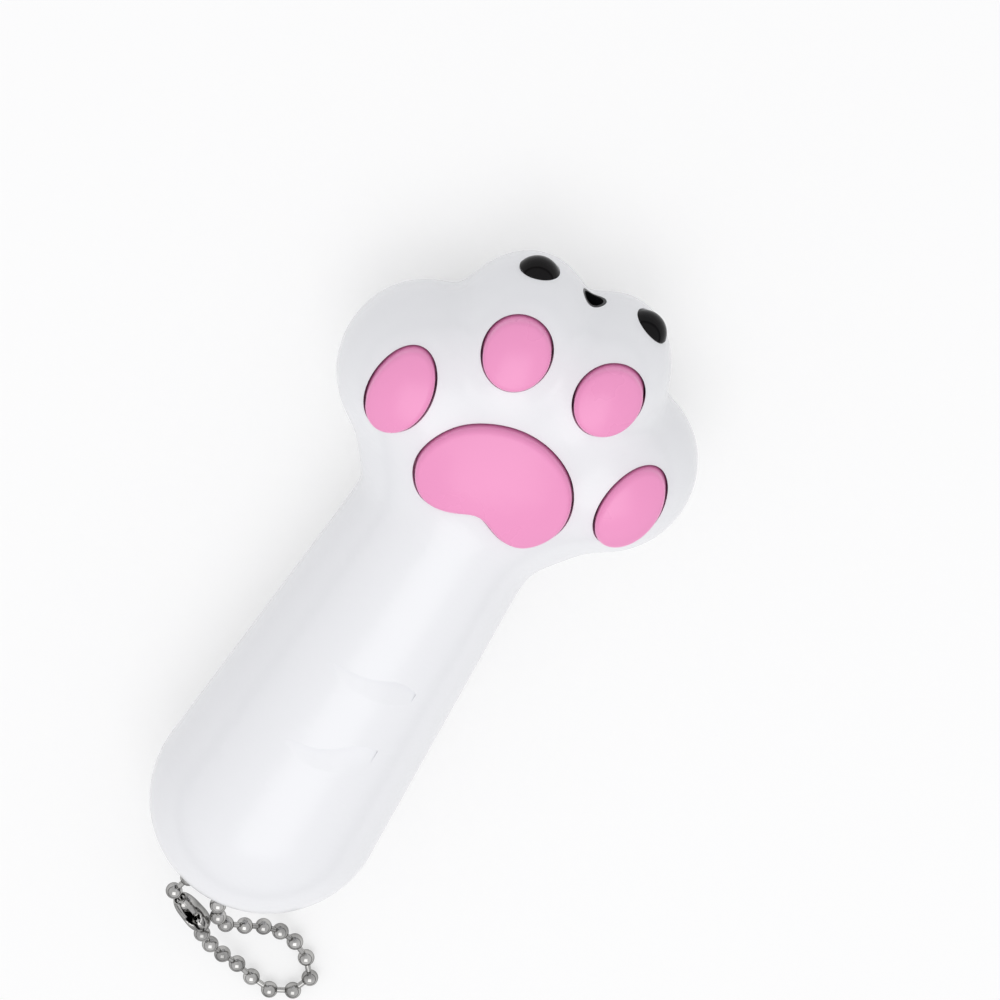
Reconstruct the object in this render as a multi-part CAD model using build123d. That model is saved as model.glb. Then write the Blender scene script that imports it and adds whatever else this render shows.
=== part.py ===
from build123d import *
import math
import os

import numpy as np

os.makedirs("parts", exist_ok=True)

# Cat-paw laser toy: two plastic half shells with five pink pads, two smoked lamps,
# a laser between the middle toes, two AAA cells and a ball chain at the tail.
# Millimetres. +X runs from the wrist to the toes, +Y to the paw's left, +Z out of the palm.
# The paw lies on its back: Z is zero on the flat of the back, X is zero at the wrist.

# Paw form: a tapered handle, a palm and four toes, run together by a soft blend
axis_height = 12.8
tail_x = -47.0
tail_half_width = 16.7
tail_half_depth = 15.0
wrist_x = 6.3
wrist_half_width = 13.4
wrist_half_depth = 13.0
palm_x = 21.6
palm_half_length = 20.3
palm_half_width = 20.6
palm_half_depth = 14.0
outer_toe_x = 25.4
outer_toe_y = 15.9
outer_toe_half_length = 12.3
outer_toe_half_width = 11.3
inner_toe_x = 37.1
inner_toe_y = 6.5
inner_toe_half_length = 11.8
inner_toe_half_width = 9.7
toe_half_depth = 12.0
blend = 1.2
wall = 1.8

# Fineness of the paw skin
tail_rows = 10
handle_rows = 26
head_rows = 20
ring_points = 19
halvings = 50
rim_degrees = 3.5
tail_cap_degrees = 5.5
nose_cap_degrees = 3.5
skin_tolerance = 0.02

# Pads
pad_crown = 1.1
pad_rounding = 1.0
pad_gap = 0.35
pad_wall = 1.6
collar_wall = 1.2
flange_width = 1.2
flange_thickness = 0.8
flange_gap = 0.15
palm_pad_setback = 0.35
palm_pad_length = 16.9
palm_pad_width = 22.7
palm_seat_drop = 5.2
palm_stem_radius = 2.4
palm_travel = 1.0
toe_seat_drop = 5.2
toe_stem_radius = 1.5
toe_travel = 0.5
outer_pad_ahead = 0.3
outer_pad_aside = 2.6
outer_pad_half_length = 6.8
outer_pad_half_width = 4.15
inner_pad_ahead = 2.2
inner_pad_aside = 0.85
inner_pad_half_length = 5.15
inner_pad_half_width = 4.7

# Half of the palm pad's bean outline, nose to notch, as shares of its length and width
palm_pad_shares = [
    (0.500, 0.0),
    (0.417, 0.247),
    (0.246, 0.405),
    (0.021, 0.489),
    (-0.192, 0.498),
    (-0.358, 0.449),
    (-0.476, 0.344),
    (-0.476, 0.220),
    (-0.405, 0.101),
    (-0.352, 0.0),
]

# Creases scooped into the handle, as shares of their span: the toe edge from the paw's left
# to its right, three places on the tail edge from right to left, and facets along that edge
crease_tilt = 15.0
crease_span = 14.1
crease_setback = 22.5
crease_pitch = 11.7
crease_first_toe_shares = [
    (0.00, 0.44),
    (0.03, 0.20),
    (0.06, 0.03),
    (0.12, -0.14),
    (0.15, -0.25),
    (0.14, -0.37),
    (0.08, -0.49),
]
crease_first_tail_shares = [(-0.02, -0.51), (-0.12, 0.07), (-0.01, 0.45)]
crease_second_toe_shares = [
    (-0.15, 0.41),
    (-0.11, 0.28),
    (-0.07, 0.12),
    (0.05, -0.09),
    (0.14, -0.21),
    (0.18, -0.33),
    (0.17, -0.47),
]
crease_second_tail_shares = [(0.08, -0.53), (-0.25, 0.03), (-0.16, 0.42)]
crease_facet_shares = [0.1, 0.3, 0.5, 0.7, 0.9]

# Lamps and laser
lamp_aside = 2.5
lamp_radius = 2.9
lamp_wall = 0.7
lamp_inset = 0.9
lamp_lift = 1.0
lamp_turn = 16.0
lamp_skirt = 4.2
lamp_crown = 1.7
led_radius = 1.5
led_rim_radius = 1.9
led_rim_thickness = 0.9
led_length = 5.4
led_setback = 6.8
lead_width = 0.5
lead_spacing = 1.27
lead_reach = 2.0
beam_radius = 1.9
barrel_radius = 3.0
barrel_bore = 2.45
barrel_length = 13.0
barrel_ahead = 4.9
barrel_lip = 0.5
barrel_aperture = 1.5
snout_gap = 0.05
film_thickness = 0.5
optic_gap = 1.2
optic_thickness = 1.5
optic_bulge = 0.6
diode_length = 3.6
diode_radius = 1.9
diode_flange = 1.2
cradle_thickness = 1.6
cradle_half_width = 4.4
cradle_inset = 2.0

# Cells and their bay
cell_radius = 5.25
cell_length = 44.5
cell_nub_radius = 1.9
cell_nub = 0.9
cell_spacing = 0.4
cell_rounding = 0.5
bay_clearance = 0.2
bay_wall = 2.0
bay_end_wall = 1.4
bay_roof = 1.0
bay_tail_inset = 9.8
bay_board_gap = 0.25
contact_depth_tail = 1.8
contact_depth_wrist = 2.2
contact_thickness = 0.35
contact_width = 6.0
contact_drop = 4.0
contact_tail_width = 2.0
contact_slot_gap = 0.3

# Battery door
door_ledge = 1.0
door_gap = 0.25
door_corner = 2.0
door_tongue_half_width = 4.4
door_tongue_length = 5.7
door_boss_radius = 2.2
door_boss_gap = 0.3
door_boss_lip = 1.3
door_screw_thread = 3.5
door_screw_length = 3.6
door_screw_hole = 1.45
door_tab_half_width = 3.2
door_tab_root = 3.2
door_tab_reach = 2.4
door_tab_thickness = 1.1
door_tab_lift = 0.2
door_tab_swing = 2.1

# Circuit board and button domes
board_clearance = 0.1
board_thickness = 1.0
board_overlap = 2.2
board_neck_half_width = 8.5
board_shoulder_setback = 5.6
board_half_width = 14.2
board_waist_ahead = 4.6
board_front_half_width = 11.0
board_front_ahead = 5.5
board_notch_half_width = 3.6
board_notch_depth = 5.6
board_post_setback = 3.1
board_post_y = 11.2
board_post_radius = 2.2
board_screw_length = 4.0
chip_setback = 2.3
chip_length = 5.0
chip_width = 4.0
chip_height = 1.5
dome_skin = 0.5
dome_foot = 0.6
palm_dome_radius = 4.0
palm_dome_top_radius = 2.2
toe_dome_radius = 2.7
toe_dome_top_radius = 1.4

# Case screws and posts
screw_radius = 1.0
screw_head_radius = 1.7
screw_head_height = 1.3
screw_slot_width = 0.5
screw_slot_depth = 0.6
screw_slot_length = 2.4
screw_recess_gap = 0.2
screw_hole_gap = 0.15
post_radius = 2.0
back_post_radius = 2.9
case_seat_drop = 6.3
case_screw_length = 10.0
head_post_ahead = 9.2
head_post_aside = 7.9
tail_post_bite = 0.6
tail_post_y = 8.0

# Lanyard pin, its pocket and the ball chain
pin_inset = 3.5
pin_radius = 1.0
pin_bite = 1.6
pocket_half_width = 5.8
pocket_half_height = 2.2
pocket_wall = 1.2
bead_radius = 1.2
bead_pitch = 3.4
bead_slack = 0.15
link_radius = 0.4
chain_reach = 20.2
chain_spread = 22.4
connector_sheet = 0.3
connector_slit = 1.0

# Route of the chain from one end of the connector round the loop to the tail pin,
# and from the pin back to the connector: shares of its reach, spread and height
chain_out_shares = [
    (0.563, -0.108, 0.644),
    (0.782, -0.290, 0.353),
    (0.866, -0.446, 0.181),
    (0.936, -0.612, 0.052),
    (1.000, -0.772, 0.010),
    (0.960, -0.902, 0.010),
    (0.802, -1.000, 0.010),
    (0.614, -0.875, 0.015),
    (0.525, -0.732, 0.095),
    (0.475, -0.563, 0.267),
    (0.485, -0.393, 0.483),
    (0.490, -0.250, 0.655),
    (0.398, -0.163, 0.840),
    (0.262, -0.107, 0.983),
]
chain_back_shares = [
    (0.158, 0.140, 1.0),
    (0.282, 0.180, 0.983),
    (0.432, 0.068, 0.830),
]

# Margins for cuts that run past the body
overrun = 4.0

# Places that follow from the sizes above
above_all = axis_height + tail_half_depth + pad_crown + overrun
tail_end_x = tail_x - tail_half_width
nose_x = inner_toe_x + inner_toe_half_length
palm_pad_x = palm_x - palm_pad_setback
palm_seat = axis_height + palm_half_depth - palm_seat_drop
outer_pad_x = outer_toe_x + outer_pad_ahead
outer_pad_y = outer_toe_y + outer_pad_aside
inner_pad_x = inner_toe_x + inner_pad_ahead
inner_pad_y = inner_toe_y + inner_pad_aside
toe_seat = axis_height + toe_half_depth - toe_seat_drop
crease_first_x = wrist_x - crease_setback
crease_second_x = crease_first_x - crease_pitch
lamp_y = inner_toe_y + lamp_aside
lamp_height = axis_height + lamp_lift
lamp_place = Pos(nose_x - lamp_inset, lamp_y, lamp_height) * Rot(0, 0, lamp_turn)
barrel_front_x = inner_toe_x + barrel_ahead
barrel_rear_x = barrel_front_x - barrel_length
board_bottom = axis_height + barrel_radius + board_clearance
board_top = board_bottom + board_thickness
bay_ceiling = board_bottom - bay_board_gap - bay_roof
cell_height = bay_ceiling - bay_clearance - cell_radius
cell_y = cell_radius + cell_spacing / 2
bay_half_width = cell_y + cell_radius + bay_clearance
bay_tail_x = tail_end_x + bay_tail_inset
bay_wrist_x = bay_tail_x + contact_depth_tail + cell_length + contact_depth_wrist
cell_tail_x = bay_tail_x + contact_depth_tail
cell_wrist_x = cell_tail_x + cell_length
door_tail_x = bay_tail_x - door_ledge
door_wrist_x = bay_wrist_x + door_ledge
door_half_width = bay_half_width + door_ledge
door_screw_x = bay_tail_x - bay_end_wall - door_boss_radius - door_boss_gap
door_boss_top = axis_height - pocket_half_height - pocket_wall - door_screw_thread
door_screw_seat = door_boss_top - door_boss_lip
door_tab_top = wall + door_tab_lift + door_tab_thickness
board_rear_x = bay_wrist_x - board_overlap
board_shoulder_x = palm_x - board_shoulder_setback
board_post_x = palm_x - board_post_setback
board_waist_x = outer_toe_x + board_waist_ahead
board_front_x = inner_toe_x + board_front_ahead
board_notch_x = board_front_x - board_notch_depth
chip_x = wrist_x - chip_setback
case_seat = axis_height - case_seat_drop
head_post_x = outer_toe_x + head_post_ahead
head_post_y = inner_toe_y + head_post_aside
tail_post_x = bay_tail_x - bay_end_wall - back_post_radius + tail_post_bite
pin_x = tail_end_x + pin_inset
bight_radius = pin_radius + bead_radius + bead_slack
pocket_inner_x = pin_x + bight_radius + bead_radius + bead_slack
chain_lift = axis_height - bead_radius


def block(x_from, x_to, y_from, y_to, z_from, z_to):
    """A box between six planes."""
    middle = Pos((x_from + x_to) / 2, (y_from + y_to) / 2, (z_from + z_to) / 2)
    return middle * Box(x_to - x_from, y_to - y_from, z_to - z_from)


def upright(x, y, z_from, z_to, radius):
    """A cylinder along Z."""
    return Pos(x, y, (z_from + z_to) / 2) * Cylinder(radius, z_to - z_from)


def lying(x_from, x_to, y, z, radius):
    """A cylinder along X."""
    return Pos((x_from + x_to) / 2, y, z) * Rot(0, 90, 0) * Cylinder(radius, x_to - x_from)


def prism(outline, z_from, z_to):
    """A flat outline stretched between two heights."""
    return extrude(Pos(0, 0, z_from) * outline, z_to - z_from, dir=(0, 0, 1))


def mirrored(shape):
    """The same piece on the paw's other side."""
    return shape.mirror(Plane.XZ)


def below(height):
    """Everything under a height."""
    reach = tail_half_width - tail_x + overrun
    return block(-reach, reach, -reach, reach, -reach, height)


def lump(points, centre, radii):
    """Distance from points to an ellipsoid, near enough, negative inside."""
    scaled = (points - np.array(centre)) / np.array(radii)
    reach = np.linalg.norm(scaled, axis=-1)
    slope = np.linalg.norm(scaled / np.array(radii), axis=-1)
    return reach * (reach - 1) / slope


def paw_field(points):
    """Distance to the blended paw, with the parting plane at zero height."""
    along = np.clip((points[..., 0] - tail_x) / (wrist_x - tail_x), 0, 1)[..., None]
    tail_radii = np.array([tail_half_width, tail_half_width, tail_half_depth])
    wrist_radii = np.array([wrist_half_width, wrist_half_width, wrist_half_depth])
    handle_centre = np.array([tail_x, 0, 0]) + along * np.array([wrist_x - tail_x, 0, 0])
    handle_radii = tail_radii + along * (wrist_radii - tail_radii)
    palm_radii = (palm_half_length, palm_half_width, palm_half_depth)
    outer_radii = (outer_toe_half_length, outer_toe_half_width, toe_half_depth)
    inner_radii = (inner_toe_half_length, inner_toe_half_width, toe_half_depth)
    lumps = [lump(points, handle_centre, handle_radii), lump(points, (palm_x, 0, 0), palm_radii)]
    for side in (1, -1):
        lumps.append(lump(points, (outer_toe_x, side * outer_toe_y, 0), outer_radii))
        lumps.append(lump(points, (inner_toe_x, side * inner_toe_y, 0), inner_radii))
    stacked = np.stack(lumps)
    nearest = stacked.min(axis=0)
    return nearest - blend * np.log(np.exp((nearest - stacked) / blend).sum(axis=0))


def paw_half(offset):
    """The palm side of the paw as a solid, its skin moved outward by the offset."""
    quarter = math.pi / 2
    tail_turns = np.linspace(math.pi - math.radians(tail_cap_degrees), quarter, tail_rows)
    head_turns = np.linspace(quarter, math.radians(nose_cap_degrees), head_rows)
    turns = np.concatenate([tail_turns, np.full(handle_rows, quarter), head_turns])
    handle_starts = np.linspace(tail_x, palm_x, handle_rows + 2)[1:-1]
    starts = np.concatenate([np.full(tail_rows, tail_x), handle_starts, np.full(head_rows, palm_x)])
    under = math.radians(rim_degrees)
    ring = np.linspace(-under, math.pi + under, ring_points)
    ahead = np.cos(turns)[:, None] + np.zeros(ring_points)
    aside = np.sin(turns)[:, None] * np.cos(ring)
    upward = np.sin(turns)[:, None] * np.sin(ring)
    aims = np.stack([ahead, aside, upward], axis=-1)
    origins = np.zeros_like(aims)
    origins[..., 0] = starts[:, None]
    near = np.zeros(aims.shape[:2])
    far = np.full(aims.shape[:2], inner_toe_x - tail_x)
    for _ in range(halvings):
        middle = (near + far) / 2
        inside = paw_field(origins + aims * middle[..., None]) < offset
        near = np.where(inside, middle, near)
        far = np.where(inside, far, middle)
    grid = origins + aims * far[..., None]
    grid[..., 2] += axis_height
    rows = [[tuple(float(value) for value in point) for point in row] for row in grid]
    skin = Face.make_surface_from_array_of_points(
        rows, tol=skin_tolerance, smoothing=(1, 1, 1), min_deg=3, max_deg=5
    )
    return extrude(skin, above_all, dir=(0, 0, -1)) - below(axis_height)


def back_half(palm_half, floor):
    """A palm half turned over to the back and cut flat at the floor height."""
    return palm_half.mirror(Plane((0, 0, axis_height))) - below(floor)


# The skins that every other piece is cut from
outer_palm = paw_half(0)
inner_palm = paw_half(-wall)
crown_palm = paw_half(pad_crown)
outer_back = back_half(outer_palm, 0)
inner_back = back_half(inner_palm, wall)


def palm_outline(grow):
    """The bean outline of the palm pad, grown on all sides."""
    length = palm_pad_length + 2 * grow
    width = palm_pad_width + 2 * grow
    left = [(palm_pad_x + ahead * length, aside * width) for ahead, aside in palm_pad_shares]
    right = [(x, -y) for x, y in left]
    loop = Spline(*right[4:0:-1], *left, *right[-2:-6:-1])
    nose = loop.param_at_point(Vector(*left[0]))
    notch = loop.param_at_point(Vector(*left[-1]))
    edge = loop.trim(nose, notch)
    return make_face([edge, edge.mirror(Plane.XZ)])


def inner_outline(grow):
    """The oval of the left middle toe pad, grown on all sides."""
    oval = Ellipse(inner_pad_half_length + grow, inner_pad_half_width + grow)
    return Pos(inner_pad_x, inner_pad_y) * oval


def outer_outline(grow):
    """The oval of the left outer toe pad, grown on all sides."""
    oval = Ellipse(outer_pad_half_length + grow, outer_pad_half_width + grow)
    return Pos(outer_pad_x, outer_pad_y) * oval


def pad(outline, seat, slack, stem):
    """A hollow pad: a crowned cap, a stem and a flange under the shell's collar."""
    foot = seat - slack - flange_thickness
    cap = prism(outline(0), foot, above_all) & crown_palm
    rim = cap.faces().sort_by(Axis.Z)[-1].edges()
    cap = fillet(rim, pad_rounding)
    under = inner_palm.moved(Pos(0, 0, -pad_gap))
    flange = prism(outline(flange_width), foot, seat - slack) & under
    hollow = (prism(outline(-pad_wall), foot, above_all) & inner_palm) - stem
    return cap + flange - hollow


def pad_opening(outline, seat, travel):
    """The hole in the palm shell that one pad moves in."""
    foot = seat - flange_thickness - travel - pad_gap
    return prism(outline(pad_gap), foot, above_all)


def palm_pad():
    """The bean-shaped palm pad that fires the laser."""
    stem = upright(palm_pad_x, 0, axis_height, above_all, palm_stem_radius)
    return pad(palm_outline, palm_seat, flange_gap, stem)


def inner_pad():
    """The left middle toe pad that lights its lamp."""
    stem = upright(inner_pad_x, inner_pad_y, axis_height, above_all, toe_stem_radius)
    return pad(inner_outline, toe_seat, flange_gap, stem)


def outer_pad():
    """The left outer toe pad, fixed in its collar."""
    stem = upright(outer_pad_x, outer_pad_y, axis_height, above_all, toe_stem_radius)
    return pad(outer_outline, toe_seat, 0, stem)


def crease(middle_x, toe_shares, tail_shares):
    """One crescent scooped into the palm side of the handle, deepest at its toe edge."""
    toe_places = [(middle_x + ahead * crease_span, aside * crease_span) for ahead, aside in toe_shares]
    tail_places = [(middle_x + ahead * crease_span, aside * crease_span) for ahead, aside in tail_shares]
    left = toe_places[0]
    right = toe_places[-1]
    behind = min(x for x, y in tail_places) - overrun
    sides = Polyline(right, (behind, right[1]), (behind, left[1]), left)
    groove = prism(make_face(Spline(*toe_places) + sides), axis_height, above_all)
    tail_edge = ThreePointArc(*tail_places)
    for share in crease_facet_shares:
        rise = Axis(tail_edge @ share, (0, 0, 1))
        spot = outer_palm.find_intersection_points(rise)[-1][0]
        hinge = Plane(spot, x_dir=tail_edge % share).location
        lean = hinge * Rot(crease_tilt, 0, 0) * hinge.inverse()
        groove -= outer_palm.moved(lean)
    return groove


def post_places():
    """The four case screws, seen from the palm."""
    return [
        (head_post_x, head_post_y),
        (head_post_x, -head_post_y),
        (tail_post_x, tail_post_y),
        (tail_post_x, -tail_post_y),
    ]


def pocket_block(grow):
    """The lanyard pocket at the tail, grown on all sides but the open one."""
    width = pocket_half_width + grow
    height = pocket_half_height + grow
    far = tail_end_x - overrun
    return block(far, pocket_inner_x + grow, -width, width, axis_height - height, axis_height + height)


def front_bores():
    """Holes for the beam, on the parting plane, and for the two lamps, turned outward."""
    far = nose_x + overrun
    beam = lying(barrel_front_x, far, 0, axis_height, beam_radius)
    lamp = lamp_place * lying(-lamp_skirt, lamp_skirt + overrun, 0, 0, lamp_radius)
    return [beam, lamp, mirrored(lamp)]


def pin_bore():
    """The hole that both shells keep for the lanyard pin."""
    half = pocket_half_height + pin_bite
    return upright(pin_x, 0, axis_height - half, axis_height + half, pin_radius)


def palm_shell():
    """The upper half of the case, with collars, posts and openings."""
    kept = [pocket_block(pocket_wall)]
    for outline, seat in ((palm_outline, palm_seat), (inner_outline, toe_seat), (outer_outline, toe_seat)):
        collar = prism(outline(pad_gap + collar_wall), seat, above_all)
        kept.append(collar)
        if outline is not palm_outline:
            kept.append(mirrored(collar))
    for x, y in post_places():
        kept.append(upright(x, y, axis_height, above_all, post_radius))
    removed = [inner_palm.cut(*kept), pocket_block(0), pin_bore()]
    removed += front_bores()
    removed.append(pad_opening(palm_outline, palm_seat, palm_travel))
    for outline in (inner_outline, outer_outline):
        opening = pad_opening(outline, toe_seat, toe_travel)
        removed += [opening, mirrored(opening)]
    for x, y in post_places():
        removed.append(upright(x, y, axis_height, case_seat + case_screw_length, screw_radius))
    removed.append(crease(crease_first_x, crease_first_toe_shares, crease_first_tail_shares))
    removed.append(crease(crease_second_x, crease_second_toe_shares, crease_second_tail_shares))
    return outer_palm.cut(*removed)


def door_outline(shrink):
    """The battery door seen from the back: a rounded plate and the tongue for its screw."""
    length = door_wrist_x - door_tail_x
    plate = RectangleRounded(length - 2 * shrink, 2 * (door_half_width - shrink), door_corner)
    plate = Pos((door_wrist_x + door_tail_x) / 2, 0) * plate
    tongue_length = door_tongue_length + door_corner
    tongue = Rectangle(tongue_length, 2 * (door_tongue_half_width - shrink))
    tongue_x = door_tail_x - door_tongue_length + tongue_length / 2 + shrink
    return plate + Pos(tongue_x, 0) * tongue


def cradles():
    """Two ribs that carry the laser barrel."""
    ribs = []
    for x in (barrel_rear_x + cradle_inset, barrel_front_x - cradle_inset - cradle_thickness):
        rib = block(x, x + cradle_thickness, -cradle_half_width, cradle_half_width, 0, axis_height)
        ribs.append(rib)
    return ribs


def contact_slots():
    """Slits in the bay roof for the contact tails that reach the board."""
    reach = contact_tail_width / 2 + contact_slot_gap
    deep = bay_wrist_x - contact_thickness - contact_slot_gap
    slots = []
    for y in (cell_y, -cell_y):
        slots.append(block(deep, bay_wrist_x, y - reach, y + reach, bay_ceiling, board_bottom))
    return slots


def back_shell():
    """The lower half of the case, with the battery bay, posts, cradles and door opening."""
    side = bay_half_width + bay_wall
    bay_from = bay_tail_x - bay_end_wall
    bay_to = bay_wrist_x + bay_end_wall
    bay_top = bay_ceiling + bay_roof
    kept = [block(bay_from, bay_to, -side, side, 0, axis_height), pocket_block(pocket_wall)]
    kept.append(upright(door_screw_x, 0, door_boss_top + door_gap, axis_height, door_boss_radius))
    kept += cradles()
    for x, y in post_places():
        kept.append(upright(x, y, 0, axis_height, back_post_radius))
    for y in (board_post_y, -board_post_y):
        kept.append(upright(board_post_x, y, 0, axis_height, board_post_radius))
    shell = outer_back - inner_back.cut(*kept)
    under_palm = inner_palm.moved(Pos(0, 0, -bay_clearance))
    raised = [block(bay_from, bay_to, -side, side, axis_height, bay_top) & under_palm]
    for y in (board_post_y, -board_post_y):
        raised.append(upright(board_post_x, y, axis_height, board_bottom, board_post_radius))
    shell = shell.fuse(*raised)
    removed = [prism(door_outline(0), -overrun, axis_height) - inner_back]
    removed.append(block(bay_tail_x, bay_wrist_x, -bay_half_width, bay_half_width, -overrun, bay_ceiling))
    room = door_tab_half_width + door_gap
    removed.append(block(bay_wrist_x, bay_to, -room, room, wall, door_tab_top + door_tab_swing))
    boss_to = axis_height - pocket_half_height - pocket_wall
    removed.append(upright(door_screw_x, 0, door_boss_top, boss_to, door_screw_hole))
    removed += [pocket_block(0), pin_bore()]
    removed += front_bores()
    removed += contact_slots()
    removed.append(lying(barrel_rear_x, barrel_front_x, 0, axis_height, barrel_radius))
    for x, y in post_places():
        removed.append(upright(x, y, -overrun, case_seat, screw_head_radius + screw_recess_gap))
        removed.append(upright(x, y, case_seat, axis_height, screw_radius + screw_hole_gap))
    for y in (board_post_y, -board_post_y):
        removed.append(upright(board_post_x, y, board_top - board_screw_length, board_bottom, screw_radius))
    return shell.cut(*removed)


def battery_door():
    """The curved door on the back, hooked at the wrist and screwed at the tail."""
    plate = prism(door_outline(door_gap), -overrun, axis_height - wall) & outer_back
    plate = plate - inner_back.moved(Pos(0, 0, -door_gap))
    boss = upright(door_screw_x, 0, 0, door_boss_top, door_boss_radius) & outer_back
    edge = door_wrist_x - door_gap
    half = door_tab_half_width
    root = block(edge - door_tab_root, edge, -half, half, wall / 2, door_tab_top)
    hook = block(edge - door_tab_root, edge + door_tab_reach, -half, half, wall + door_tab_lift, door_tab_top)
    recess = upright(door_screw_x, 0, -overrun, door_screw_seat, screw_head_radius + screw_recess_gap)
    hole = upright(door_screw_x, 0, door_screw_seat, door_boss_top, screw_radius)
    return plate.fuse(boss, root, hook).cut(recess, hole)


def screw(length):
    """A screw that points up, its seat at zero height and its slotted head below."""
    shank = upright(0, 0, 0, length, screw_radius)
    head = upright(0, 0, -screw_head_height, 0, screw_head_radius)
    deep = screw_slot_depth - screw_head_height
    long_half = screw_slot_length / 2
    short_half = screw_slot_width / 2
    first = block(-long_half, long_half, -short_half, short_half, -screw_head_height, deep)
    second = block(-short_half, short_half, -long_half, long_half, -screw_head_height, deep)
    return (shank + head) - first - second


def case_screws():
    """The four screws that hold the two half shells together."""
    return Compound([Pos(x, y, case_seat) * screw(case_screw_length) for x, y in post_places()])


def board_screws():
    """The two screws that hold the circuit board to its posts."""
    places = [(board_post_x, board_post_y), (board_post_x, -board_post_y)]
    return Compound([Pos(x, y, board_top) * Rot(180, 0, 0) * screw(board_screw_length) for x, y in places])


def circuit_board():
    """The board above the cells and the laser, notched between the toe buttons."""
    left = [
        (board_rear_x, board_neck_half_width),
        (board_shoulder_x, board_neck_half_width),
        (board_shoulder_x, board_half_width),
        (board_waist_x, board_half_width),
        (board_waist_x, board_front_half_width),
        (board_front_x, board_front_half_width),
        (board_front_x, board_notch_half_width),
        (board_notch_x, board_notch_half_width),
    ]
    right = [(x, -y) for x, y in reversed(left)]
    board = prism(make_face(Polyline(*left, *right, close=True)), board_bottom, board_top)
    for y in (board_post_y, -board_post_y):
        board = board - upright(board_post_x, y, board_bottom, board_top, screw_radius)
    return board


def controller_chip():
    """The chip that drives the laser and the lamps."""
    half = chip_width / 2
    return block(chip_x, chip_x + chip_length, -half, half, board_top, board_top + chip_height)


def button_dome(x, y, radius, top_radius, top):
    """A hollow silicone dome between the board and a pad's stem."""
    profile = Polyline(
        (radius - dome_skin, board_top),
        (radius, board_top),
        (radius, board_top + dome_foot),
        (top_radius, top - dome_foot),
        (top_radius, top),
        (0, top),
        (0, top - dome_skin),
        (top_radius - dome_skin, top - dome_skin),
        (radius - dome_skin, board_top + dome_foot),
        close=True,
    )
    face = make_face(Plane.XZ * profile)
    return Pos(x, y) * revolve(face, Axis.Z)


def lamp_lens():
    """The smoked dome on the left middle toe, hollow behind."""
    bore = lamp_radius - lamp_wall
    inner_crown = lamp_crown - lamp_wall
    outer_curve = (lamp_radius**2 + lamp_crown**2) / (2 * lamp_crown)
    inner_curve = (bore**2 + inner_crown**2) / (2 * inner_crown)
    profile = Polyline((0, lamp_radius), (-lamp_skirt, lamp_radius), (-lamp_skirt, bore), (0, bore))
    profile += RadiusArc((inner_crown, 0), (0, bore), -inner_curve)
    profile += Line((inner_crown, 0), (lamp_crown, 0))
    profile += RadiusArc((lamp_crown, 0), (0, lamp_radius), -outer_curve)
    return lamp_place * revolve(make_face(Plane.XZ * profile), Axis.X)


def lead(x_from, y, height, top):
    """One wire leg that runs back from a base and bends up to the board."""
    half = lead_width / 2
    x_to = x_from - lead_reach
    back = block(x_to, x_from, y - half, y + half, height - half, height + half)
    rise = block(x_to, x_to + lead_width, y - half, y + half, height - half, top)
    return back + rise


def led():
    """The left lamp's light-emitting diode with its two legs."""
    tip = led_length - led_setback - led_radius
    body = lying(-led_setback, tip, 0, 0, led_radius)
    body += Pos(tip, 0, 0) * Sphere(led_radius)
    body += lying(-led_setback, led_rim_thickness - led_setback, 0, 0, led_rim_radius)
    for side in (1, -1):
        body += lead(-led_setback, side * lead_spacing / 2, 0, board_bottom - lamp_height)
    return lamp_place * body


def laser_barrel():
    """The brass tube of the laser, with a snout that ends flush in the valley between the toes."""
    tube = lying(barrel_rear_x, barrel_front_x, 0, axis_height, barrel_radius)
    snout = lying(barrel_front_x, nose_x, 0, axis_height, beam_radius - snout_gap)
    bore = lying(barrel_rear_x, barrel_front_x - barrel_lip, 0, axis_height, barrel_bore)
    window = lying(barrel_front_x - barrel_lip, nose_x, 0, axis_height, barrel_aperture)
    return tube.fuse(snout & outer_palm, snout & outer_back).cut(bore, window)


def pattern_film():
    """The clear disc that draws the figure in the beam."""
    front = barrel_front_x - barrel_lip
    return lying(front - film_thickness, front, 0, axis_height, barrel_bore)


def laser_optic():
    """The collimating lens, flat behind and bulged in front."""
    front = barrel_front_x - barrel_lip - film_thickness - optic_gap
    rear = front - optic_thickness
    profile = Polyline((front, barrel_bore), (rear, barrel_bore), (rear, 0), (front + optic_bulge, 0))
    curve = (barrel_bore**2 + optic_bulge**2) / (2 * optic_bulge)
    profile += RadiusArc((front + optic_bulge, 0), (front, barrel_bore), -curve)
    face = make_face(Plane.XZ * profile)
    return Pos(0, 0, axis_height) * revolve(face, Axis.X)


def laser_diode():
    """The laser diode: a flange in the barrel, a can and two legs."""
    flange = lying(barrel_rear_x, barrel_rear_x + diode_flange, 0, axis_height, barrel_bore)
    can_to = barrel_rear_x + diode_flange + diode_length
    body = flange + lying(barrel_rear_x + diode_flange, can_to, 0, axis_height, diode_radius)
    for side in (1, -1):
        body += lead(barrel_rear_x, side * lead_spacing, axis_height, board_bottom)
    return body


def cell(side):
    """One AAA cell; the left one has its nub at the wrist, the right one at the tail."""
    y = side * cell_y
    if side > 0:
        can = lying(cell_tail_x, cell_wrist_x - cell_nub, y, cell_height, cell_radius)
        nub = lying(cell_wrist_x - cell_nub, cell_wrist_x, y, cell_height, cell_nub_radius)
    else:
        can = lying(cell_tail_x + cell_nub, cell_wrist_x, y, cell_height, cell_radius)
        nub = lying(cell_tail_x, cell_tail_x + cell_nub, y, cell_height, cell_nub_radius)
    can = fillet(can.edges().filter_by(GeomType.CIRCLE), cell_rounding)
    return can + nub


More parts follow.
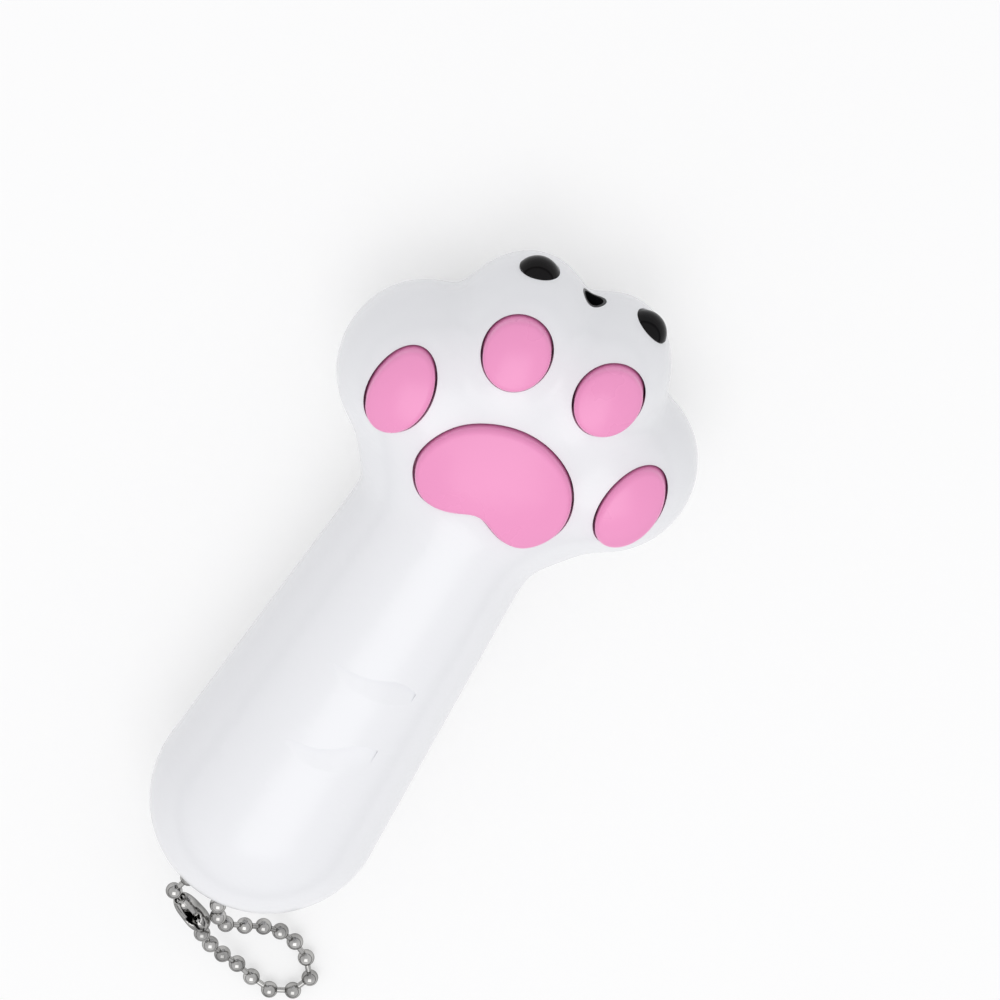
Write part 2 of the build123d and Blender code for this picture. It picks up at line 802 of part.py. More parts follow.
def leaf(y, wall_x, tip_x):
    """A bowed spring strip whose middle presses on a cell end."""
    thick = math.copysign(contact_thickness, wall_x - tip_x)
    profile = Polyline(
        (wall_x - thick, cell_height - contact_drop),
        (tip_x, cell_height),
        (wall_x - thick, cell_height + contact_drop),
        (wall_x, cell_height + contact_drop),
        (tip_x + thick, cell_height),
        (wall_x, cell_height - contact_drop),
        close=True,
    )
    strip = extrude(make_face(Plane.XZ * profile), contact_width / 2, both=True)
    return Pos(0, y, 0) * strip


def wrist_contact(side):
    """A contact at the wrist end of the bay, with a tail up to the board."""
    y = side * cell_y
    half = contact_tail_width / 2
    bottom = cell_height - contact_drop
    front = bay_wrist_x - contact_thickness
    tail = block(front, bay_wrist_x, y - half, y + half, bottom, board_bottom)
    return leaf(y, bay_wrist_x, cell_wrist_x) + tail


def series_contact():
    """The strip at the tail end of the bay that joins the two cells."""
    top = cell_height + contact_drop
    half = contact_tail_width / 2
    back = bay_tail_x + contact_thickness
    bridge = block(bay_tail_x, back, -cell_y, cell_y, cell_height - half, cell_height + half)
    posts = [block(bay_tail_x, back, y - half, y + half, cell_height, top) for y in (cell_y, -cell_y)]
    leaves = [leaf(y, bay_tail_x, cell_tail_x) for y in (cell_y, -cell_y)]
    return bridge.fuse(*posts, *leaves)


def lanyard_pin():
    """The steel pin across the tail pocket that the chain runs round."""
    return pin_bore()


def chain_point(back, aside, lift):
    """A place on the chain from shares of its reach, spread and height."""
    return (pin_x - back * chain_reach, aside * chain_spread, bead_radius + lift * chain_lift)


def bead_row():
    """Bead centres at an even pitch from one end of the connector to the other."""
    out = [chain_point(*shares) for shares in chain_out_shares]
    bight = []
    for turn in (-90, -30, 30, 90):
        angle = math.radians(turn)
        x = pin_x + bight_radius * math.cos(angle)
        bight.append((x, bight_radius * math.sin(angle), axis_height))
    back = [chain_point(*shares) for shares in chain_back_shares]
    route = Spline(*out, *bight, *back)
    steps = round(route.length / bead_pitch)
    return [route @ (step / steps) for step in range(steps + 1)]


def chain_links(places):
    """Short wires between neighbouring beads."""
    rods = []
    inset = math.sqrt(bead_radius**2 - link_radius**2)
    for first, second in zip(places, places[1:]):
        run = second - first
        aim = Plane(first + run.normalized() * inset, z_dir=run)
        rods.append(extrude(aim * Circle(link_radius), run.length - 2 * inset))
    return rods


def chain_beads(places, rods):
    """The balls, each with a small flat where a wire enters."""
    balls = []
    for number, place in enumerate(places):
        ball = Pos(place) * Sphere(bead_radius)
        near = rods[max(number - 1, 0):number + 1]
        balls.append(ball.cut(*near))
    return balls


def chain_connector(places):
    """A folded strip that clasps the two end beads."""
    run = places[0] - places[-1]
    middle = (places[0] + places[-1]) / 2
    aim = Plane(middle, x_dir=run, z_dir=run.cross(Vector(0, 0, 1)).cross(run))
    room = bead_radius + bead_slack
    shell = room + connector_sheet
    outside = extrude(SlotCenterToCenter(run.length, 2 * shell), shell, both=True)
    inside = extrude(SlotCenterToCenter(run.length, 2 * room), room, both=True)
    through = Rectangle(run.length + 2 * shell + overrun, 2 * connector_slit)
    mouth = extrude(Pos(0, 0, -connector_slit) * through, connector_slit + shell)
    return aim * (outside - inside - mouth)


pieces = {
    "palm_shell": palm_shell(),
    "back_shell": back_shell(),
    "palm_pad": palm_pad(),
    "battery_door": battery_door(),
    "circuit_board": circuit_board(),
    "controller_chip": controller_chip(),
    "laser_barrel": laser_barrel(),
    "pattern_film": pattern_film(),
    "laser_optic": laser_optic(),
    "laser_diode": laser_diode(),
    "cell_left": cell(1),
    "cell_right": cell(-1),
    "contact_positive": wrist_contact(1),
    "contact_negative": wrist_contact(-1),
    "contact_series": series_contact(),
    "case_screws": case_screws(),
    "board_screws": board_screws(),
    "lanyard_pin": lanyard_pin(),
}
pieces["door_screw"] = Pos(door_screw_x, 0, door_screw_seat) * screw(door_screw_length)

toe_foot = toe_seat - flange_gap - flange_thickness
palm_foot = palm_seat - flange_gap - flange_thickness
pieces["palm_dome"] = button_dome(palm_pad_x, 0, palm_dome_radius, palm_dome_top_radius, palm_foot)
sided = {
    "inner_pad": inner_pad(),
    "outer_pad": outer_pad(),
    "toe_dome": button_dome(inner_pad_x, inner_pad_y, toe_dome_radius, toe_dome_top_radius, toe_foot),
    "lamp_lens": lamp_lens(),
    "led": led(),
}
for name, piece in sided.items():
    pieces[name + "_left"] = piece
    pieces[name + "_right"] = mirrored(piece)

bead_places = bead_row()
link_rods = chain_links(bead_places)
pieces["chain_beads"] = Compound(chain_beads(bead_places, link_rods))
pieces["chain_links"] = Compound(link_rods)
pieces["chain_connector"] = chain_connector(bead_places)

for name, piece in pieces.items():
    export_step(piece, f"parts/{name}.step")
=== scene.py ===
import math

import bmesh
import bpy
from mathutils import Matrix, Vector


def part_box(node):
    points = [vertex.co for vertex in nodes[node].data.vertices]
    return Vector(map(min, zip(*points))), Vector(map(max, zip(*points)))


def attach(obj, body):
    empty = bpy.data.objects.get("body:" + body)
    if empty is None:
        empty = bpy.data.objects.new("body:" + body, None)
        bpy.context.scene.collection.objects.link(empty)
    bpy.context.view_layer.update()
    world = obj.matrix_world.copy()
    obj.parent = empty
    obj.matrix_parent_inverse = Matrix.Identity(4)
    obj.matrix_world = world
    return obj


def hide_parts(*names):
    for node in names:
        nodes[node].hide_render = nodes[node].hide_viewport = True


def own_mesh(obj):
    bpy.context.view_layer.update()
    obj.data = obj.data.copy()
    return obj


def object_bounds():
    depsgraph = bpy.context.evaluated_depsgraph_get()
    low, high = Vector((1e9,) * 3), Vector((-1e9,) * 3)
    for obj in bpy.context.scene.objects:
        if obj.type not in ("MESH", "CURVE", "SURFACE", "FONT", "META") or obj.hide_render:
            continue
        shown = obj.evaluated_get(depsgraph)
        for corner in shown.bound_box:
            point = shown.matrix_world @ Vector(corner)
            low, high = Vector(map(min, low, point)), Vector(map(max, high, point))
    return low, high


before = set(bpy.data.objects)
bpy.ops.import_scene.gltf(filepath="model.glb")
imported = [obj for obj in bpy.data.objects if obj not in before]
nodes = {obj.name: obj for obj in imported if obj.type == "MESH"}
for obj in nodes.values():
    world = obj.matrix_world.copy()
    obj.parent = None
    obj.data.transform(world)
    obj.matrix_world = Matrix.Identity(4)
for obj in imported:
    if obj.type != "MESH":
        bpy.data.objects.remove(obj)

cad_low, cad_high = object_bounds()


# Back shell
# The lower half of the paw: white ABS, injection moulded with a gloss finish. It carries the
# battery bay, the laser's cradle ribs and the screw posts, and meets the palm half edge to edge.
same_point = 2e-6
sliver_edge = 1e-5
sharp_edge = math.radians(28.0)
noise_middle = 0.5
cloud_waves = 70.0
wipe_waves = 120.0
peel_waves = 420.0
peel_strength = 0.2
abs_index = 1.52


def in_scene(name, data):
    """A new object of that name, placed in the scene."""
    thing = bpy.data.objects.new(name, data)
    bpy.context.scene.collection.objects.link(thing)
    return thing


def dressed(node, body, material):
    """A merged copy that stands for one solid, shaded smooth up to its real edges, in its finish."""
    mesh = nodes[node].data.copy()
    mesh.materials.clear()
    mesh.materials.append(material)
    bm = bmesh.new()
    bm.from_mesh(mesh)
    bmesh.ops.remove_doubles(bm, verts=bm.verts, dist=same_point)
    bmesh.ops.dissolve_degenerate(bm, edges=bm.edges, dist=sliver_edge)
    for face in bm.faces:
        face.smooth = True
    for edge in bm.edges:
        edge.smooth = edge.is_manifold and edge.calc_face_angle(0.0) < sharp_edge
    bm.to_mesh(mesh)
    bm.free()
    if "custom_normal" in mesh.attributes:
        mesh.attributes.remove(mesh.attributes["custom_normal"])
    piece = in_scene(node + "_piece", mesh)
    even = piece.modifiers.new("even_normals", "WEIGHTED_NORMAL")
    even.keep_sharp = True
    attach(piece, body)
    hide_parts(node)
    return piece


def shader_of(material):
    """The surface shader of a material."""
    return material.node_tree.nodes["Principled BSDF"]


def new_finish(name):
    """A new material and its surface shader."""
    material = bpy.data.materials.new(name)
    material.use_nodes = True
    return material, shader_of(material)


def feed(tree, node, values):
    """Feeds a node's sockets, by name or number, from other sockets or with plain values."""
    for socket, value in values.items():
        if isinstance(value, bpy.types.NodeSocket):
            tree.links.new(value, node.inputs[socket])
        else:
            node.inputs[socket].default_value = value


def object_place(tree):
    """The place of a point on the piece."""
    return tree.nodes.new("ShaderNodeTexCoord").outputs["Object"]


def noise(tree, place, waves, detail):
    """A noise with so many waves to the unit of its place, as a value about its middle."""
    texture = tree.nodes.new("ShaderNodeTexNoise")
    feed(tree, texture, {"Vector": place, "Scale": waves, "Detail": detail})
    return texture.outputs["Fac"]


def arithmetic(tree, operation, *operands):
    """The result of one operation on sockets and plain numbers."""
    step = tree.nodes.new("ShaderNodeMath")
    step.operation = operation
    feed(tree, step, dict(enumerate(operands)))
    return step.outputs[0]


def wavering(tree, texture, middle, swing):
    """A value that wavers about its middle with a noise."""
    either_way = arithmetic(tree, "SUBTRACT", texture, noise_middle)
    return arithmetic(tree, "MULTIPLY_ADD", either_way, swing, middle)


def colour_mix(tree, factor, first, second):
    """A mix of two colours."""
    mix = tree.nodes.new("ShaderNodeMix")
    mix.data_type = "RGBA"
    feed(tree, mix, {"Factor": factor, "A": first, "B": second})
    return mix.outputs["Result"]


def bumped(tree, height, strength, depth):
    """A surface normal that a height tilts."""
    bump = tree.nodes.new("ShaderNodeBump")
    feed(tree, bump, {"Height": height, "Strength": strength, "Distance": depth})
    return bump.outputs["Normal"]


def shader_group(name, takes, gives):
    """A shader group with named sockets, what it is given, and the node that takes its results."""
    group = bpy.data.node_groups.new(name, "ShaderNodeTree")
    for direction, sockets in (("INPUT", takes), ("OUTPUT", gives)):
        for label, kind in sockets.items():
            group.interface.new_socket(label, in_out=direction, socket_type="NodeSocket" + kind)
    return group, group.nodes.new("NodeGroupInput").outputs, group.nodes.new("NodeGroupOutput")


def moulded_grain_group():
    """Moulded plastic: a cloudy tone, a gloss that wavers, and the faint peel of the tool's polish."""
    group, given, result = shader_group(
        "moulded_grain",
        {"Colour": "Color", "Cloud Shade": "Color", "Roughness": "Float", "Roughness Swing": "Float"},
        {"Colour": "Color", "Roughness": "Float", "Peel": "Float"})
    place = object_place(group)
    cloud = noise(group, place, cloud_waves, detail=3.0)
    wipe = noise(group, place, wipe_waves, detail=3.0)
    feed(group, result, {
        "Colour": colour_mix(group, cloud, given["Colour"], given["Cloud Shade"]),
        "Roughness": wavering(group, wipe, given["Roughness"], given["Roughness Swing"]),
        "Peel": noise(group, place, peel_waves, detail=2.0)})
    return group


moulded_grain = moulded_grain_group()


def moulded_plastic(name, colour, shade, roughness, swing, peel_height):
    """A moulded plastic whose tone, gloss and peel come from the grain group."""
    material, shader = new_finish(name)
    tree = material.node_tree
    grain = tree.nodes.new("ShaderNodeGroup")
    grain.node_tree = moulded_grain
    feed(tree, grain, {
        "Colour": (*colour, 1.0), "Cloud Shade": (*shade, 1.0), "Roughness": roughness,
        "Roughness Swing": swing})
    feed(tree, shader, {
        "Base Color": grain.outputs["Colour"], "Roughness": grain.outputs["Roughness"],
        "Normal": bumped(tree, grain.outputs["Peel"], peel_strength, peel_height)})
    return material


white_abs = moulded_plastic(
    "white_abs", colour=(0.86, 0.865, 0.885), shade=(0.845, 0.85, 0.872), roughness=0.24, swing=0.05,
    peel_height=1e-6)
shader_of(white_abs).inputs["IOR"].default_value = abs_index
dressed("back_shell", "case", white_abs)


# Laser
# A turned brass barrel that lies in the cradle ribs between the middle toes, lacquered black ahead of its
# optics; this black front is partly painted shade, standing for the dark deep in the toe's bore. It takes
# the diode and the collimating lens, and the clear film behind its front lip.
line_waves = 1.0
tarnish_and_reflection_waves = 420.0
line_strength = 0.4
lacquer_and_shade_start = 0.0413
black_lacquer_and_bore_shade = (0.010, 0.010, 0.011)
acrylic_index = 1.49
ripple_shade_share = 0.94
ripple_strength = 0.3
ripple_depth = 3e-6


def rubbed_metal_group():
    """Bare or plated metal: a tone that clouds, fine drawn lines and a gloss that wavers with them. Where
    the dull tone is near black, as on the chain, the clouding is painted dark reflection.
    """
    group, given, result = shader_group(
        "rubbed_metal",
        {"Bright": "Color", "Dull And Dark Reflection": "Color", "Line Stretch": "Vector", "Roughness": "Float",
         "Roughness Swing": "Float"},
        {"Colour": "Color", "Roughness": "Float", "Lines": "Float"})
    place = object_place(group)
    drawn = group.nodes.new("ShaderNodeVectorMath")
    drawn.operation = "MULTIPLY"
    feed(group, drawn, {0: place, 1: given["Line Stretch"]})
    lines = noise(group, drawn.outputs["Vector"], line_waves, detail=4.0)
    tarnish_and_dark_reflection = noise(group, place, tarnish_and_reflection_waves, detail=4.0)
    feed(group, result, {
        "Colour": colour_mix(group, tarnish_and_dark_reflection, given["Bright"], given["Dull And Dark Reflection"]),
        "Roughness": wavering(group, lines, given["Roughness"], given["Roughness Swing"]),
        "Lines": lines})
    return group


rubbed_metal = rubbed_metal_group()


def metal(name, bright, dull_and_dark_reflection, roughness, swing, stretch, line_depth):
    """A metal whose tone, gloss and drawn lines come from the rubbed metal group."""
    material, shader = new_finish(name)
    tree = material.node_tree
    rub = tree.nodes.new("ShaderNodeGroup")
    rub.node_tree = rubbed_metal
    feed(tree, rub, {
        "Bright": (*bright, 1.0), "Dull And Dark Reflection": (*dull_and_dark_reflection, 1.0), "Line Stretch": stretch, "Roughness": roughness,
        "Roughness Swing": swing})
    feed(tree, shader, {
        "Metallic": 1.0, "Base Color": rub.outputs["Colour"], "Roughness": rub.outputs["Roughness"],
        "Normal": bumped(tree, rub.outputs["Lines"], line_strength, line_depth)})
    return material


def place_along(tree):
    """The place of a point along the paw, from tail to toes."""
    split = tree.nodes.new("ShaderNodeSeparateXYZ")
    feed(tree, split, {0: object_place(tree)})
    return split.outputs["X"]


def coat_over(material, mask, colour):
    """Lays one colour over a finish where the mask is one."""
    tree = material.node_tree
    base = shader_of(material).inputs["Base Color"]
    under = base.links[0].from_socket
    tree.links.new(colour_mix(tree, mask, under, (*colour, 1.0)), base)


def brass_lacquered_for_bore_shade():
    """Turned brass, with black lacquer ahead of the optics that is partly painted shade for the bore."""
    material = metal(
        "turned_brass", bright=(0.80, 0.58, 0.27), dull_and_dark_reflection=(0.66, 0.45, 0.19), roughness=0.24, swing=0.16,
        stretch=(5200.0, 240.0, 240.0), line_depth=4e-6)
    tree = material.node_tree
    # painted shade: the black front stands for the shade deep in the laser's bore
    lacquered_and_bore_shade = arithmetic(tree, "GREATER_THAN", place_along(tree), lacquer_and_shade_start)
    coat_over(material, lacquered_and_bore_shade, black_lacquer_and_bore_shade)
    feed(tree, shader_of(material), {"Metallic": arithmetic(tree, "SUBTRACT", 1.0, lacquered_and_bore_shade)})
    return material


def clear_plastic(name, tint, roughness, ripple_waves):
    """A clear moulding with a faint ripple in its polish."""
    material, shader = new_finish(name)
    tree = material.node_tree
    ripple = noise(tree, object_place(tree), ripple_waves, detail=2.0)
    shade = [ripple_shade_share * part for part in tint]
    feed(tree, shader, {
        "Transmission Weight": 1.0, "IOR": acrylic_index,
        "Base Color": colour_mix(tree, ripple, (*tint, 1.0), (*shade, 1.0)),
        "Roughness": arithmetic(tree, "MULTIPLY", ripple, roughness / noise_middle),
        "Normal": bumped(tree, ripple, ripple_strength, ripple_depth)})
    return material


gilt_can = metal(
    "gilt_can", bright=(0.86, 0.66, 0.30), dull_and_dark_reflection=(0.74, 0.54, 0.22), roughness=0.20, swing=0.12,
    stretch=(700.0, 700.0, 700.0), line_depth=2e-6)
lens_acrylic = clear_plastic("lens_acrylic", tint=(0.95, 0.97, 0.98), roughness=0.03, ripple_waves=500.0)
figure_film = clear_plastic("figure_film", tint=(0.93, 0.94, 0.96), roughness=0.09, ripple_waves=3200.0)
dressed("laser_barrel", "case", brass_lacquered_for_bore_shade())
dressed("laser_diode", "case", gilt_can)
dressed("laser_optic", "case", lens_acrylic)
dressed("pattern_film", "case", figure_film)


# Lamps
# Behind each middle toe sits a small epoxy diode on two tinned legs. A smoked, high-gloss
# dome, moulded nearly black, plugs the toe's front and covers it, turned 16 degrees outward.
lamp_turn = math.radians(16.0)
lamp_base = 0.04179
tinned_wire = (0.70, 0.69, 0.66)
dome_gloss = 0.12


def bare_metal(material, mask, colour):
    """Bares metal of one colour where the mask is one."""
    coat_over(material, mask, colour)
    feed(material.node_tree, shader_of(material), {"Metallic": mask})


def epoxy_lamp():
    """Milky epoxy in front of the base and tinned wire behind it, on either side of the paw."""
    material = moulded_plastic(
        "milky_epoxy", colour=(0.86, 0.86, 0.80), shade=(0.80, 0.80, 0.72), roughness=0.20, swing=0.08,
        peel_height=3e-6)
    tree = material.node_tree
    either_side = tree.nodes.new("ShaderNodeVectorMath")
    either_side.operation = "ABSOLUTE"
    feed(tree, either_side, {0: object_place(tree)})
    along_lamp = tree.nodes.new("ShaderNodeVectorMath")
    along_lamp.operation = "DOT_PRODUCT"
    feed(tree, along_lamp, {
        0: either_side.outputs["Vector"], 1: (math.cos(lamp_turn), math.sin(lamp_turn), 0.0)})
    behind = arithmetic(tree, "LESS_THAN", along_lamp.outputs["Value"], lamp_base)
    bare_metal(material, behind, tinned_wire)
    return material


milky_epoxy = epoxy_lamp()
smoked_dome = moulded_plastic(
    "smoked_dome", colour=(0.004, 0.004, 0.005), shade=(0.007, 0.006, 0.006), roughness=0.05, swing=0.03,
    peel_height=5e-7)
shader_of(smoked_dome).inputs["Specular IOR Level"].default_value = dome_gloss
for side in ("left", "right"):
    dressed("led_" + side, "case", milky_epoxy)
    dressed("lamp_lens_" + side, "case", smoked_dome)


# Battery contacts and cells
# Three bowed strips of nickel-plated spring steel press on two AAA cells, which lie head to
# tail in the bay. Each cell is a drawn steel can in a plain shrink sleeve.
band_share = 0.74
cap_share = 0.975
grey_band = (0.30, 0.30, 0.32)
drawn_steel = (0.66, 0.65, 0.63)

plated_spring = metal(
    "plated_spring", bright=(0.74, 0.73, 0.70), dull_and_dark_reflection=(0.62, 0.61, 0.58), roughness=0.26, swing=0.18,
    stretch=(320.0, 320.0, 3600.0), line_depth=3e-6)
for name in ("contact_positive", "contact_negative", "contact_series"):
    dressed(name, "case", plated_spring)


def sleeved_cell(name, foot_end, cap_end):
    """A charcoal sleeve with a plain grey band, and bare steel at the cap and the foot."""
    material = moulded_plastic(
        name, colour=(0.035, 0.036, 0.040), shade=(0.026, 0.027, 0.030), roughness=0.30, swing=0.10,
        peel_height=3e-6)
    tree = material.node_tree
    from_foot = arithmetic(tree, "SUBTRACT", place_along(tree), foot_end)
    share = arithmetic(tree, "DIVIDE", from_foot, cap_end - foot_end)
    at_cap = arithmetic(tree, "GREATER_THAN", share, cap_share)
    at_foot = arithmetic(tree, "LESS_THAN", share, 1.0 - cap_share)
    coat_over(material, arithmetic(tree, "GREATER_THAN", share, band_share), grey_band)
    bare_metal(material, arithmetic(tree, "MAXIMUM", at_cap, at_foot), drawn_steel)
    return material


for side in ("left", "right"):
    low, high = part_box("cell_" + side)
    foot_end, cap_end = (low.x, high.x) if side == "left" else (high.x, low.x)
    sleeve = sleeved_cell("cell_sleeve_" + side, foot_end, cap_end)
    dressed("cell_" + side, "case", sleeve)


# Circuit board
# A glass-fibre board in green solder mask lies over the cells and the laser on two posts. It
# carries the driver chip, and the three rubber domes that the pads press.
solder_reach = 0.14
solder_tin = (0.68, 0.67, 0.63)
track_strength = 0.5
track_depth = 2e-5


def solder_mask():
    """Green lacquer over copper tracks, with tinned dots where parts are soldered."""
    material, shader = new_finish("solder_mask")
    tree = material.node_tree
    place = object_place(tree)
    tracks = tree.nodes.new("ShaderNodeTexBrick")
    feed(tree, tracks, {
        "Vector": place, "Scale": 260.0, "Mortar Size": 0.035, "Color1": (0.012, 0.105, 0.040, 1.0),
        "Color2": (0.014, 0.120, 0.045, 1.0), "Mortar": (0.050, 0.260, 0.085, 1.0)})
    dots = tree.nodes.new("ShaderNodeTexVoronoi")
    feed(tree, dots, {"Vector": place, "Scale": 330.0})
    gloss = tree.nodes.new("ShaderNodeMapRange")
    feed(tree, gloss, {"Value": tracks.outputs["Fac"], "To Min": 0.30, "To Max": 0.42})
    feed(tree, shader, {
        "Coat Weight": 0.5, "Base Color": tracks.outputs["Color"], "Roughness": gloss.outputs["Result"],
        "Normal": bumped(tree, tracks.outputs["Fac"], track_strength, track_depth)})
    bare_metal(material, arithmetic(tree, "LESS_THAN", dots.outputs["Distance"], solder_reach), solder_tin)
    return material


chip_epoxy = moulded_plastic(
    "chip_epoxy", colour=(0.022, 0.022, 0.024), shade=(0.034, 0.034, 0.036), roughness=0.55, swing=0.20,
    peel_height=2e-5)
zinc_screw = metal(
    "zinc_screw", bright=(0.66, 0.67, 0.69), dull_and_dark_reflection=(0.52, 0.53, 0.56), roughness=0.30, swing=0.20,
    stretch=(900.0, 900.0, 4200.0), line_depth=4e-6)
dome_rubber = moulded_plastic(
    "dome_rubber", colour=(0.74, 0.74, 0.71), shade=(0.68, 0.68, 0.64), roughness=0.46, swing=0.12,
    peel_height=8e-6)
feed(dome_rubber.node_tree, shader_of(dome_rubber), {"Subsurface Weight": 0.15, "Subsurface Scale": 0.001})

dressed("circuit_board", "case", solder_mask())
dressed("controller_chip", "case", chip_epoxy)
dressed("board_screws", "case", zinc_screw)
for name, press in (
        ("palm_dome", "palm_press"), ("toe_dome_left", "left_toe_press"),
        ("toe_dome_right", "right_toe_press")):
    dome = dressed(name, "case", dome_rubber)
    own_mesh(dome)


# Pads
# Five pink pads, moulded in soft-gloss ABS with a crowned top. The bean-shaped palm pad and
# the two middle toe pads are buttons held by a flange; the two outer ones are fixed.
pink_abs = moulded_plastic(
    "pink_abs", colour=(0.90, 0.318, 0.580), shade=(0.88, 0.305, 0.565), roughness=0.28, swing=0.06,
    peel_height=1e-6)
for name, body in (
        ("palm_pad", "palm_button"), ("inner_pad_left", "left_toe_button"),
        ("inner_pad_right", "right_toe_button"), ("outer_pad_left", "case"), ("outer_pad_right", "case")):
    dressed(name, body, pink_abs)


# Palm shell and case screws
# The upper half of the paw, in the same white ABS: four toes, a palm and the handle with its two
# pressed creases. Four zinc-plated screws draw it down on to the back shell.
dressed("palm_shell", "case", white_abs)
dressed("case_screws", "case", zinc_screw)


# Battery door
# A curved white lid in the flat of the back. It hooks under the wrist edge of its opening and is
# held at the tail by one short screw.
dressed("battery_door", "battery_door", white_abs)
dressed("door_screw", "battery_door", zinc_screw)


# Lanyard pin and ball chain
# A steel pin crosses the pocket at the tail. A nickel-plated ball chain runs round it: hollow
# beads on short wires, closed by a pear-shaped clasp, pressed from strip, round the two end beads.
# painted reflection: this grey edge tint darkens the beads' rims
chain_rim_painted_dark = (0.40, 0.40, 0.40, 1.0)
clasp_first = Vector((-0.07157, -0.00242, 0.00867))
clasp_last = Vector((-0.06893, 0.00152, 0.01083))
clasp_past_bead = 0.00125
clasp_mouth = 0.00105
clasp_belly = 0.00170
clasp_swell = 0.00015
clasp_fullness = 4
clasp_sheet = 0.00025
clasp_hole = 0.00115
clasp_slit = math.radians(18.0)
clasp_stations = 32
clasp_sides = 40
hole_rim_shares = (0.7, 1.3)

# painted reflection: the chain's near-black dull tone paints blotches of dark reflection over the beads
chain_nickel = metal(
    "chain_nickel", bright=(0.86, 0.85, 0.83), dull_and_dark_reflection=(0.02, 0.02, 0.02), roughness=0.09, swing=0.06,
    stretch=(1500.0, 1500.0, 1500.0), line_depth=1e-6)
# painted reflection: the grey edge tint gives the beads darker rims
shader_of(chain_nickel).inputs["Specular Tint"].default_value = chain_rim_painted_dark
dressed("lanyard_pin", "case", zinc_screw)
for name in ("chain_beads", "chain_links"):
    dressed(name, "chain", chain_nickel)


def chain_clasp():
    """A pear-shaped shell, slit along its top, with a round hole to pass a bead."""
    run = clasp_first - clasp_last
    half = run.length / 2 + clasp_past_bead
    bm = bmesh.new()
    profile = []
    for station in range(clasp_stations + 1):
        share = 2.0 * station / clasp_stations - 1.0
        belly = clasp_belly + clasp_swell * share
        radius = clasp_mouth + (belly - clasp_mouth) * (1.0 - share**clasp_fullness)
        profile.append(bm.verts.new((share * half, 0.0, radius)))
    edges = [bm.edges.new(pair) for pair in zip(profile, profile[1:])]
    bmesh.ops.spin(
        bm, geom=profile + edges, cent=(0.0, 0.0, 0.0), axis=(1.0, 0.0, 0.0), angle=2.0 * math.pi,
        steps=clasp_sides, use_merge=True)
    bmesh.ops.recalc_face_normals(bm, faces=bm.faces)

    opened = []
    for face in bm.faces:
        middle = face.calc_center_median()
        in_slit = abs(math.atan2(middle.y, middle.z)) < clasp_slit
        in_hole = middle.z > 0.0 and math.hypot(middle.x, middle.y) < clasp_hole
        if in_slit or in_hole:
            opened.append(face)
    bmesh.ops.delete(bm, geom=opened, context="FACES")
    rim_low, rim_high = [share * clasp_hole for share in hole_rim_shares]
    for vert in bm.verts:
        reach = math.hypot(vert.co.x, vert.co.y)
        if vert.is_boundary and vert.co.z > 0.0 and rim_low < reach < rim_high:
            vert.co.x *= clasp_hole / reach
            vert.co.y *= clasp_hole / reach
    for face in bm.faces:
        face.smooth = True

    ahead = run.normalized()
    up = ahead.cross(Vector((0.0, 0.0, 1.0))).cross(ahead).normalized()
    place = Matrix((ahead, up.cross(ahead), up)).transposed().to_4x4()
    place.translation = (clasp_first + clasp_last) / 2
    bmesh.ops.transform(bm, matrix=place, verts=bm.verts)
    mesh = bpy.data.meshes.new("chain_connector_piece")
    bm.to_mesh(mesh)
    bm.free()
    clasp = in_scene("chain_connector_piece", mesh)
    sheet = clasp.modifiers.new("sheet", "SOLIDIFY")
    sheet.thickness = clasp_sheet
    sheet.offset = -1.0
    return clasp


chain_connector = chain_clasp()
chain_connector.data.materials.append(chain_nickel)
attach(chain_connector, "chain")
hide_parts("chain_connector")


# Floor
# A wide sheet of pale studio paper under the paw. It keeps the paw's shadow, and shows paler to the
# camera and in reflections than it lights the paw.
floor_half = 6.0
floor_drop = 0.0001
paper_lift_share = 0.55

bm = bmesh.new()
bmesh.ops.create_grid(bm, x_segments=1, y_segments=1, size=floor_half)
bmesh.ops.translate(bm, verts=bm.verts, vec=(0.0, 0.0, cad_low.z - floor_drop))
floor_mesh = bpy.data.meshes.new("floor")
bm.to_mesh(floor_mesh)
bm.free()
floor = in_scene("floor", floor_mesh)

floor_paper, paper = new_finish("floor_paper")
tree = floor_paper.node_tree
feed(tree, paper, {"Base Color": (0.93, 0.93, 0.93, 1.0), "Roughness": 0.9, "Specular IOR Level": 0.1})
lit = tree.nodes.new("ShaderNodeEmission")
feed(tree, lit, {"Color": (1.0, 1.0, 1.0, 1.0)})
rays = tree.nodes.new("ShaderNodeLightPath").outputs
mirrored = arithmetic(tree, "MAXIMUM", rays["Is Camera Ray"], rays["Is Glossy Ray"])
seen = arithmetic(tree, "MAXIMUM", mirrored, rays["Is Transmission Ray"])
page = tree.nodes.new("ShaderNodeMixShader")
feed(tree, page, {
    "Fac": arithmetic(tree, "MULTIPLY", seen, paper_lift_share), 1: paper.outputs["BSDF"],
    2: lit.outputs["Emission"]})
feed(tree, tree.nodes["Material Output"], {"Surface": page.outputs["Shader"]})
floor_mesh.materials.append(floor_paper)


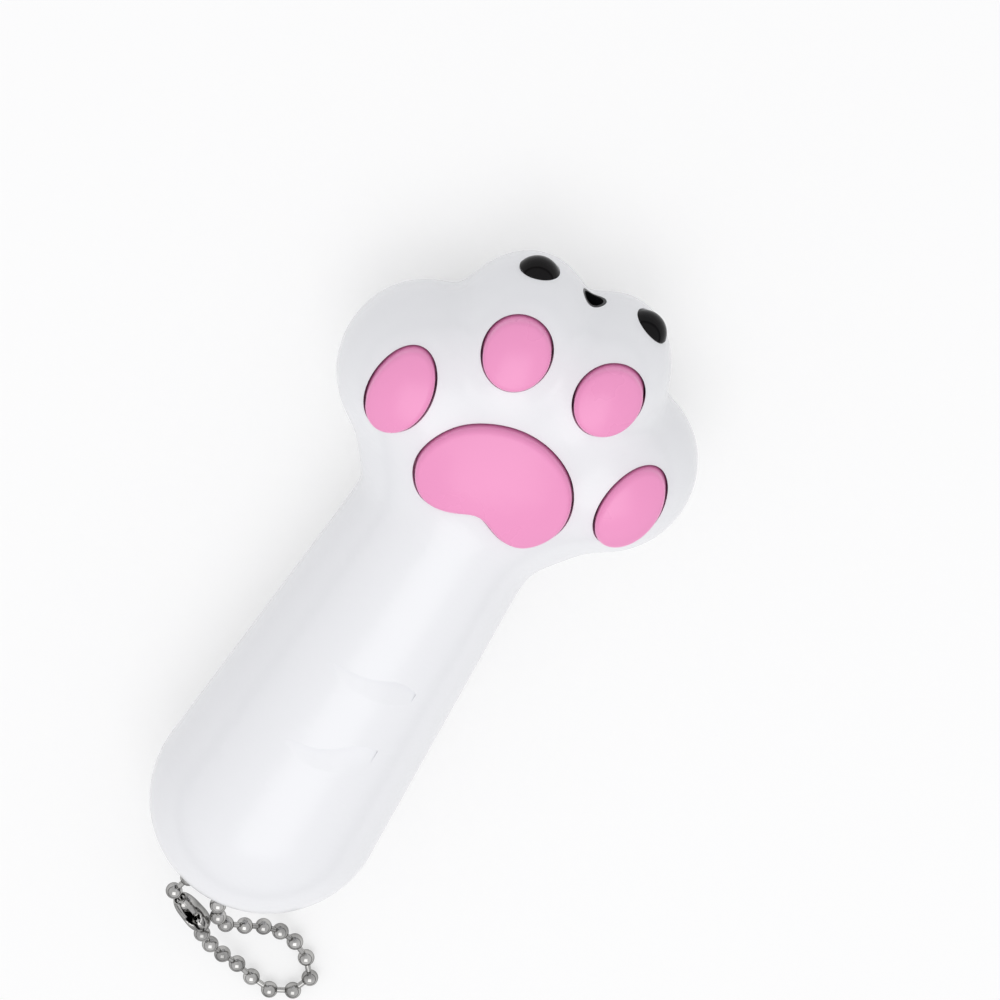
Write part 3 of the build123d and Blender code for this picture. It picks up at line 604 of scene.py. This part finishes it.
# Light
# A sky that is pale overhead and dark near the floor, and one large soft box high above the paw, a
# little to its tail's side.
dark_up_to = 0.07
dark_sky = (0.12, 0.12, 0.13, 1.0)
pale_from = 0.24
pale_sky = (0.85, 0.85, 0.86, 1.0)
box_place = Vector((-0.26, -0.11, 1.00))
box_width = 0.8
box_watts = 2.5

world = bpy.data.worlds.new("studio")
world.use_nodes = True
bpy.context.scene.world = world
tree = world.node_tree
split = tree.nodes.new("ShaderNodeSeparateXYZ")
feed(tree, split, {0: tree.nodes.new("ShaderNodeTexCoord").outputs["Generated"]})
fall = tree.nodes.new("ShaderNodeValToRGB")
feed(tree, fall, {"Fac": split.outputs["Z"]})
low_stop, high_stop = fall.color_ramp.elements
low_stop.position = dark_up_to
low_stop.color = dark_sky
high_stop.position = pale_from
high_stop.color = pale_sky
feed(tree, tree.nodes["Background"], {"Color": fall.outputs["Color"]})

box_light = bpy.data.lights.new("overhead_box", "AREA")
box_light.shape = "SQUARE"
box_light.size = box_width
box_light.energy = box_watts
overhead_box = in_scene("overhead_box", box_light)
overhead_box.location = box_place
overhead_box.rotation_mode = "QUATERNION"
overhead_box.rotation_quaternion = (-box_place).to_track_quat("-Z", "Y")


# Camera
# A long lens that looks down on the palm along the photograph's line of sight, turned so that the
# paw lies at the photograph's slant.
sight = Vector((0.4450, 0.2099, 0.8706)).normalized()
paw_slant = math.radians(56.90)
aim = Vector((0.01226, -0.0046, 0.0129))
camera_distance = 4.0
frame_width = 0.14085
sensor_width = 36.0
near_clip = 0.1
far_clip = 20.0

paw_axis = Vector((1.0, 0.0, 0.0))
along_paw = (paw_axis - sight * paw_axis.dot(sight)).normalized()
across_paw = sight.cross(along_paw)
image_right = math.cos(paw_slant) * along_paw - math.sin(paw_slant) * across_paw
image_up = math.sin(paw_slant) * along_paw + math.cos(paw_slant) * across_paw
camera_data = bpy.data.cameras.new("camera")
camera_data.sensor_width = sensor_width
camera_data.lens = sensor_width * camera_distance / frame_width
camera_data.clip_start = near_clip
camera_data.clip_end = far_clip
camera = in_scene("camera", camera_data)
turn = Matrix((image_right, image_up, sight)).transposed()
camera.matrix_world = Matrix.Translation(aim + sight * camera_distance) @ turn.to_4x4()
bpy.context.scene.camera = camera
bpy.context.scene.view_settings.view_transform = "Standard"
